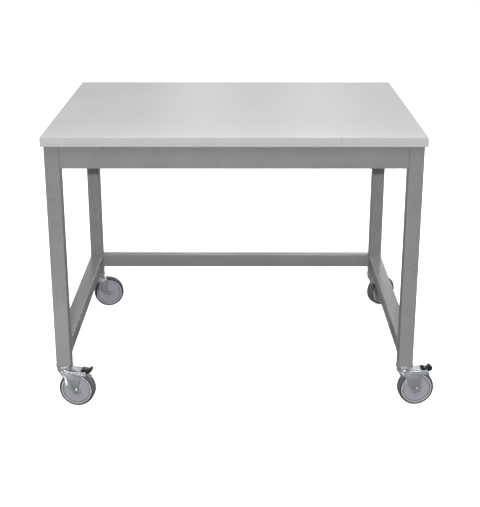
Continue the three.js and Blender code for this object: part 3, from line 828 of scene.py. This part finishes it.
def makeFrame():
    for corner in corners:
        low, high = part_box(corner + "_leg")
        makeTube(corner + "_leg_tube", low, high, [corner + "_leg"])
        dressNode(corner + "_foot_plate", "plainSteel")
    for side, outerSide in (("front", -1), ("rear", 1), ("left", -1), ("right", 1)):
        low, high = apronBox(side + "_apron")
        makeTube(side + "_apron_tube", low, high, [side + "_apron"])
        addTubeWelds(side + "_apron_welds", low, high, outerSide)
        inner = high if outerSide < 0 else low
        if side in ("front", "rear"):
            root = inner.y + outerSide * tubeShape["wall"]
            makeTab(side, (0, root, 0), (0, -outerSide))
        else:
            root = inner.x + outerSide * tubeShape["wall"]
            fromEnd = tabShape["fromEnd"]
            for label, y in (("near", low.y + fromEnd), ("far", high.y - fromEnd)):
                makeTab(side + "_" + label, (root, y, 0), (-outerSide, 0))
    for side, outerSide in (("left", -1), ("right", 1), ("rear", 1)):
        low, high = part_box(side + "_stretcher")
        makeTube(side + "_stretcher_tube", low, high, [side + "_stretcher"])
        addTubeWelds(side + "_stretcher_welds", low, high, outerSide)
    print("frame dressed")


# Casters, drawn in millimetres with the floor at zero, the swivel axis on Z
# and the wheel trailing along +X

def casterPlace(corner):
    swivel = Vector(jointOf[corner + "_caster_swivel"]["pos_m"])
    roll = Vector(jointOf[corner + "_wheel_roll"]["pos_m"])
    trailing = Vector((roll.x - swivel.x, roll.y - swivel.y, 0))
    turn = math.atan2(trailing.y, trailing.x)
    place = Matrix.Translation((swivel.x, swivel.y, floorHeight)) @ Matrix.Rotation(turn, 4, "Z")
    return place @ Matrix.Scale(mm, 4)


def addCasterPiece(corner, name, bm, finishName, part, replaced):
    bmesh.ops.transform(bm, matrix=casterPlace(corner), verts=bm.verts)
    nodes = [corner + "_" + node for node in replaced]
    body = part if part == frameBody else corner + "_" + part
    addPiece(corner + "_" + name, bm, finishName, body, nodes)


wheelShape = {
    "radius": wheelRadius, "trail": 34.0, "segments": 96, "edgeRadius": 0.9, "edgeSteps": 4,
    "rimFace": 15.3, "rimDrop": 0.2, "flangeInside": 39.9, "grooveFloor": 10.3, "grooveInside": 37.0,
    "grooveDraft": 0.6, "beadFace": 13.9, "beadInside": 34.2, "beadSlope": 1.2, "discFace": 12.5,
    "discDish": 0.6, "hubRadius": 14.0, "hubFoot": 1.6, "hubDraft": 1.0, "hubFace": 17.5, "hubDrop": 0.3,
    "bore": 6.8,
    # the rim flange is painted lighter, a painted highlight on its ridge
    "rimWear": ((39.7, 0), (40.2, 1)),  # radius and strength
    # the groove inside the rim is painted darker, a painted shade in the recess
    "grooveGrime": ((36.9, 0), (37.4, 1), (39.4, 1), (39.9, 0)),
}
tyreShape = {
    "half": 16.5, "crownHalf": 6.0, "shoulderDrop": 5.0, "shoulderSteps": 14, "inside": 43.7, "seatGap": 0.3,
    "lipRise": 0.5, "lipDrop": 0.2, "lipDepth": 1.2, "partingHalf": 0.5, "partingDepth": 0.25,
    # the tread is painted lighter: worn rubber, and partly a painted highlight on the running surface
    "treadWear": ((46.5, 0), (49.2, 1)),
}
axleCentre = (wheelShape["trail"], 0, wheelShape["radius"])


# Stores a value for each vertex of a wheel by its distance from the axle
def ringMask(bm, label, stops):
    layer = bm.verts.layers.float.new(label)
    for vert in bm.verts:
        reach = math.hypot(vert.co.x - wheelShape["trail"], vert.co.z - wheelShape["radius"])
        value = stops[0][1]
        for (r0, v0), (r1, v1) in zip(stops, stops[1:]):
            if reach > r0:
                value = v0 + (v1 - v0) * min((reach - r0) / (r1 - r0), 1)
        vert[layer] = value


def makeDisc(corner):
    w = wheelShape
    half = [
        (tyreShape["inside"] - tyreShape["seatGap"], w["rimFace"] - w["rimDrop"]),
        (w["flangeInside"], w["rimFace"]),
        (w["flangeInside"] - w["grooveDraft"], w["grooveFloor"]),
        (w["grooveInside"] + w["grooveDraft"], w["grooveFloor"]),
        (w["grooveInside"], w["beadFace"]),
        (w["beadInside"], w["beadFace"]),
        (w["beadInside"] - w["beadSlope"], w["discFace"]),
        (w["hubRadius"] + w["hubFoot"], w["discFace"] - w["discDish"]),
        (w["hubRadius"] - w["hubDraft"], w["hubFace"] - w["hubDrop"]),
        (w["bore"], w["hubFace"]),
    ]
    profile = half + [(r, -h) for r, h in reversed(half)]
    profile = roundCorners(profile, w["edgeRadius"], w["edgeSteps"])
    core = turnProfile(profile, w["segments"], "Y", axleCentre)
    # painted highlight on the rim flange
    ringMask(core, "wear", w["rimWear"])
    # painted shade in the rim groove
    ringMask(core, "grime", w["grooveGrime"])
    addCasterPiece(corner, "wheel_disc", core, "wheelPlastic", "wheel", ["wheel_core"])


def makeTyre(corner):
    t = tyreShape
    radius = wheelShape["radius"]
    shoulder = t["half"] - t["crownHalf"]
    side = []
    for i in range(t["shoulderSteps"] + 1):
        a = math.pi / 2 * i / t["shoulderSteps"]
        side.append((radius - t["shoulderDrop"] * (1 - math.cos(a)), t["crownHalf"] + shoulder * math.sin(a)))
    side.append((t["inside"] + t["lipRise"], t["half"] - t["lipDrop"]))
    side.append((t["inside"], t["half"] - t["lipDepth"]))
    partingLine = [(radius, -t["partingHalf"]), (radius - t["partingDepth"], 0), (radius, t["partingHalf"])]
    profile = [(r, -h) for r, h in reversed(side)] + partingLine + side
    tread = turnProfile(profile, wheelShape["segments"], "Y", axleCentre)
    # lighter tread, partly wear and partly painted highlight
    ringMask(tread, "wear", t["treadWear"])
    addCasterPiece(corner, "tyre_ring", tread, "tyreRubber", "wheel", ["tyre"])


axleShape = {
    "pin": 4.0, "seat": 21.3, "headRadius": 7.0, "headHeight": 3.0, "segments": 48,
    "rimHeight": 0.9, "domeShare": 0.62, "domeDrop": 0.25, "edgeRadius": 0.7, "edgeSteps": 4,
}


def makeAxle(corner):
    a = axleShape
    crest = a["seat"] + a["headHeight"]
    half = [
        (a["pin"], a["seat"]),
        (a["headRadius"], a["seat"]),
        (a["headRadius"], a["seat"] + a["rimHeight"]),
        (a["headRadius"] * a["domeShare"], crest - a["domeDrop"]),
        (0, crest),
    ]
    profile = [(r, -h) for r, h in reversed(half)] + half
    radii = [0] + [a["edgeRadius"]] * (len(profile) - 2) + [0]
    profile = roundCorners(profile, radii, a["edgeSteps"], closed=False)
    bm = turnProfile(profile, a["segments"], "Y", axleCentre)
    addCasterPiece(corner, "axle_rivet", bm, "zincPlate", "swivel", ["axle"])


headShape = {
    "bore": 6.3, "radius": 24.0, "bottom": 111.5, "top": 121.7, "segments": 80, "race": 18.0,
    "raceDepth": 3.5, "bowl": 5.0, "bowlSteps": 10, "rim": 1.0, "rimSteps": 5,
}


def makeHead(corner):
    h = headShape
    outer = h["radius"]
    bowl = arcPoints((outer - h["bowl"], h["bottom"] + h["bowl"]), h["bowl"], -90, 0, h["bowlSteps"])
    rim = arcPoints((outer - h["rim"], h["top"] - h["rim"]), h["rim"], 0, 90, h["rimSteps"])
    ceiling = h["bottom"] + h["raceDepth"]
    profile = [(h["bore"], ceiling), (h["race"], ceiling), (h["race"], h["bottom"])]
    bm = turnProfile(profile + bowl + rim + [(h["bore"], h["top"])], h["segments"], "Z")
    addCasterPiece(corner, "head_cup", bm, "zincPlate", frameBody, ["swivel_head"])


forkShape = {
    "inner": 18.5, "outer": 21.0, "sheet": 2.5, "hoodTop": 105.5, "hoodUnderside": 103.0, "bend": 3.2,
    "noseReach": 22.0, "noseRake": 0.6, "noseWebDepth": 20.5, "bossRadius": 10.0, "wheelCut": 52.6,
    "crownRadius": 21.5, "crownTop": 111.0, "crownSkirt": 3.0, "crownChamfer": (2.4, 2.6), "crownRound": 1.6,
    "crownSegments": 72, "shank": 6.3, "shankGap": 0.02, "shankCut": 40, "axleHole": 4.3, "holeSegments": 40,
    "wheelCutSegments": 96, "noseSteps": 28, "bendSteps": 6, "bossSteps": 20, "endSteps": 10,
    "edgeRadius": 0.35, "edgeSteps": 4,
    "overcut": 1,  # how far a cutter stands out of what it cuts
}
brakedCheek = {"frontCut": 69.0, "rearEdge": 45.0, "rearCut": 82.0, "endRadius": 6.0}
plainCheek = {"frontCut": 62.0, "rearEdge": 29.0, "rearCut": 90.0, "endRadius": 9.0}
pedalShape = {
    "pin": (60.320, 100.560), "pinRadius": 1.6, "pinGap": 0.3, "pinSegments": 32, "pinChamfer": (0.4, 0.5),
    "width": 29.0, "sideGap": 0.7, "hub": 3.2, "cam": (2.9, -5.2), "planRadius": 9.0, "planSteps": 8,
    "slotFront": 13.0, "slotRadius": 3, "slotSteps": 5, "skirtBelow": 8.0, "skirtRadius": 9, "skirtSteps": 8,
    "hoodPast": 5.0, "edgeRadius": 0.6,
    "lockPad": (14.3, 7.4, 4.2),  # x and z from the pin, and the radius of the tip
    "releasePad": (-7.8, 6.6, 3.0),
    "lockArc": (126, -54), "releaseArc": (-117, -297), "tipSteps": 10, "hubArc": (-126, -178), "hubSteps": 6,
    "neckRise": 0.6, "saddle": 2.2, "saddleEnd": (0.3, 0.2), "belly": -1.0, "bellyShare": 0.6,
    "curveSteps": 8,
}


def forkChannel(halfWidth, top, bend, bottom, rearEnd):
    f = forkShape
    bendStart = top - bend
    levels = [bottom, f["hoodTop"] - f["noseWebDepth"], bendStart]
    turns = [math.pi / 2 * (i + 1) / f["bendSteps"] for i in range(f["bendSteps"])]
    levels += [bendStart + bend * math.sin(a) for a in turns]
    rings = []
    for z in levels:
        rise = max(z - bendStart, 0)
        radius = halfWidth - bend + math.sqrt(max(bend * bend - rise * rise, 0))
        depth = min(f["hoodTop"] - z, f["noseWebDepth"])
        centre = f["outer"] - f["noseReach"] + f["noseRake"] * depth
        ring = [(rearEnd, -radius, z), (rearEnd, radius, z)]
        ring += [(x, y, z) for x, y in arcPoints((centre, 0), radius, 90, 270, f["noseSteps"])]
        rings.append(ring)
    bm = bmesh.new()
    bridgeRings(bm, rings)
    return bm


def bossTangent(x, z, turn):
    dx, dz = x - wheelShape["trail"], z - wheelShape["radius"]
    opening = math.acos(forkShape["bossRadius"] / math.hypot(dx, dz))
    return math.degrees(math.atan2(dz, dx) + turn * opening)


def cheekOutline(cheek, rearEnd):
    f = forkShape
    frontEdge = f["outer"] - f["noseReach"] + f["noseRake"] * f["noseWebDepth"]
    frontEdge -= math.sqrt(f["outer"] ** 2 - f["inner"] ** 2)
    frontLimit = -f["noseReach"] - f["overcut"]
    above = f["hoodTop"] + f["overcut"]
    start = bossTangent(frontEdge, cheek["frontCut"], 1)
    end = bossTangent(cheek["rearEdge"], cheek["rearCut"], -1) + 360
    outline = [(frontLimit, above), (frontLimit, cheek["frontCut"]), (frontEdge, cheek["frontCut"])]
    boss = (wheelShape["trail"], wheelShape["radius"])
    outline += arcPoints(boss, f["bossRadius"], start, end, f["bossSteps"])
    if rearEnd > cheek["rearEdge"]:
        skirt = pedalShape["pin"][1] - pedalShape["skirtBelow"]
        step = [(cheek["rearEdge"], cheek["rearCut"]), (cheek["rearEdge"], skirt), (rearEnd, skirt)]
        outline += roundCorners(step, pedalShape["skirtRadius"], pedalShape["skirtSteps"], closed=False)
    else:
        outline.append((cheek["rearEdge"], cheek["rearCut"]))
    r = cheek["endRadius"]
    outline += arcPoints((rearEnd - r, f["hoodTop"] - r), r, 0, 90, f["endSteps"])
    outline.append((rearEnd - r, above))
    return outline


def crownProfile():
    f = forkShape
    low = f["hoodTop"] - f["crownSkirt"]
    inset, drop = f["crownChamfer"]
    corner = f["crownRound"]
    outline = [
        (f["shank"], low),
        (f["crownRadius"], low),
        (f["crownRadius"], f["crownTop"] - drop),
        (f["crownRadius"] - inset, f["crownTop"]),
        (f["shank"], f["crownTop"]),
    ]
    return roundCorners(outline, [0, 0, corner, corner, 0], f["edgeSteps"])


def pinHole(length, place=(0, 0, 0)):
    p = pedalShape
    return rod(p["pinRadius"] + p["pinGap"], length, p["pinSegments"], "Y", place)


def makeFork(corner, braked):
    f, p = forkShape, pedalShape
    over = f["overcut"]
    cheek = brakedCheek if braked else plainCheek
    pinX, pinZ = p["pin"]
    rearEnd = pinX + p["hoodPast"] if braked else cheek["rearEdge"]
    bottom = wheelShape["radius"] - f["bossRadius"] - over
    across = f["outer"] + over
    outer = forkChannel(f["outer"], f["hoodTop"], f["bend"], bottom, rearEnd)
    inner = forkChannel(f["inner"], f["hoodUnderside"], f["bend"] - f["sheet"], bottom - over, rearEnd + over)
    shankHole = rod(f["shank"] + f["shankGap"], f["shankCut"], f["holeSegments"], "Z", (0, 0, f["hoodTop"]))
    steps = [
        ("INTERSECT", prism(cheekOutline(cheek, rearEnd), -across, across, "Y")),
        ("UNION", turnProfile(crownProfile(), f["crownSegments"], "Z")),
        ("DIFFERENCE", inner),
        ("DIFFERENCE", rod(f["wheelCut"], 2 * f["inner"], f["wheelCutSegments"], "Y", axleCentre)),
        ("DIFFERENCE", rod(f["axleHole"], 2 * across, f["holeSegments"], "Y", axleCentre)),
        ("DIFFERENCE", shankHole),
    ]
    if braked:
        half = p["width"] / 2 + p["sideGap"]
        front, rear = pinX - p["slotFront"], rearEnd + over
        slot = [(front, -half), (rear, -half), (rear, half), (front, half)]
        slot = roundCorners(slot, [p["slotRadius"], 0, 0, p["slotRadius"]], p["slotSteps"])
        steps.append(("DIFFERENCE", prism(slot, pinZ, f["hoodTop"] + over, "Z")))
        steps.append(("DIFFERENCE", pinHole(2 * across, (pinX, 0, pinZ))))
    bm = carve(outer, steps, f["edgeRadius"])
    addCasterPiece(corner, "fork_pressing", bm, "zincPlate", "swivel", ["fork"])


def makePedal(corner):
    p = pedalShape
    pinX, pinZ = p["pin"]
    lockX, lockZ, lockTip = p["lockPad"]
    backX, backZ, backTip = p["releasePad"]
    saddleX, saddleZ = p["saddleEnd"]

    def curve(a, b, c):
        a, b, c = Vector(a), Vector(b), Vector(c)
        shares = [i / p["curveSteps"] for i in range(1, p["curveSteps"] + 1)]
        return [tuple(a * (1 - t) ** 2 + b * 2 * t * (1 - t) + c * t * t) for t in shares]

    outline = [(-p["hub"], 0)]
    outline += curve((-p["hub"], 0), (-p["hub"], backZ / 2), (backX / 2, backZ * p["neckRise"]))
    outline += arcPoints((backX, backZ), backTip, *p["releaseArc"], p["tipSteps"])
    outline += curve(outline[-1], (0, p["saddle"]), (lockX * saddleX, p["saddle"] + lockZ * saddleZ))
    outline += arcPoints((lockX, lockZ), lockTip, *p["lockArc"], p["tipSteps"])
    outline += curve(outline[-1], (lockX * p["bellyShare"], p["belly"]), (p["hub"], 0))
    outline += curve((p["hub"], 0), (p["hub"], p["cam"][1]), p["cam"])
    outline += arcPoints((0, 0), p["hub"], *p["hubArc"], p["hubSteps"])
    front, rear = backX - backTip, lockX + lockTip
    half = p["width"] / 2
    over = forkShape["overcut"]
    plan = [(front, -half), (rear, -half), (rear, half), (front, half)]
    plan = roundCorners(plan, p["planRadius"], p["planSteps"])
    body = prism(outline, -half, half, "Y")
    steps = [
        ("INTERSECT", prism(plan, p["cam"][1] - over, lockZ + lockTip + over, "Z")),
        ("DIFFERENCE", pinHole(2 * half + 2 * over)),
    ]
    bm = carve(body, steps, p["edgeRadius"])
    bmesh.ops.translate(bm, verts=bm.verts, vec=(pinX, 0, pinZ))
    addCasterPiece(corner, "pedal_rocker", bm, "pedalPlastic", "pedal", ["brake_pedal"])

    length = forkShape["outer"]
    inset, drop = p["pinChamfer"]
    side = [(p["pinRadius"], length - drop), (p["pinRadius"] - inset, length), (0, length)]
    profile = [(r, -h) for r, h in reversed(side)] + side
    pivot = turnProfile(profile, p["pinSegments"], "Y", (pinX, 0, pinZ))
    addCasterPiece(corner, "pedal_pivot", pivot, "zincPlate", "swivel", ["pedal_pin"])
    dressNode(corner + "_brake_shoe", "plainSteel")


def makeCasters():
    for corner in corners:
        braked = corner.startswith("front")
        makeDisc(corner)
        makeTyre(corner)
        makeAxle(corner)
        makeHead(corner)
        makeFork(corner, braked)
        if braked:
            makePedal(corner)
        dressNode(corner + "_caster_stem", "zincPlate")
        dressNode(corner + "_ball_ring", "plainSteel")
        dressNode(corner + "_axle_bush", "bushPlastic")
    print("casters dressed")


addCamera()
addStudio()
makeWorktop()
makeFrame()
makeCasters()
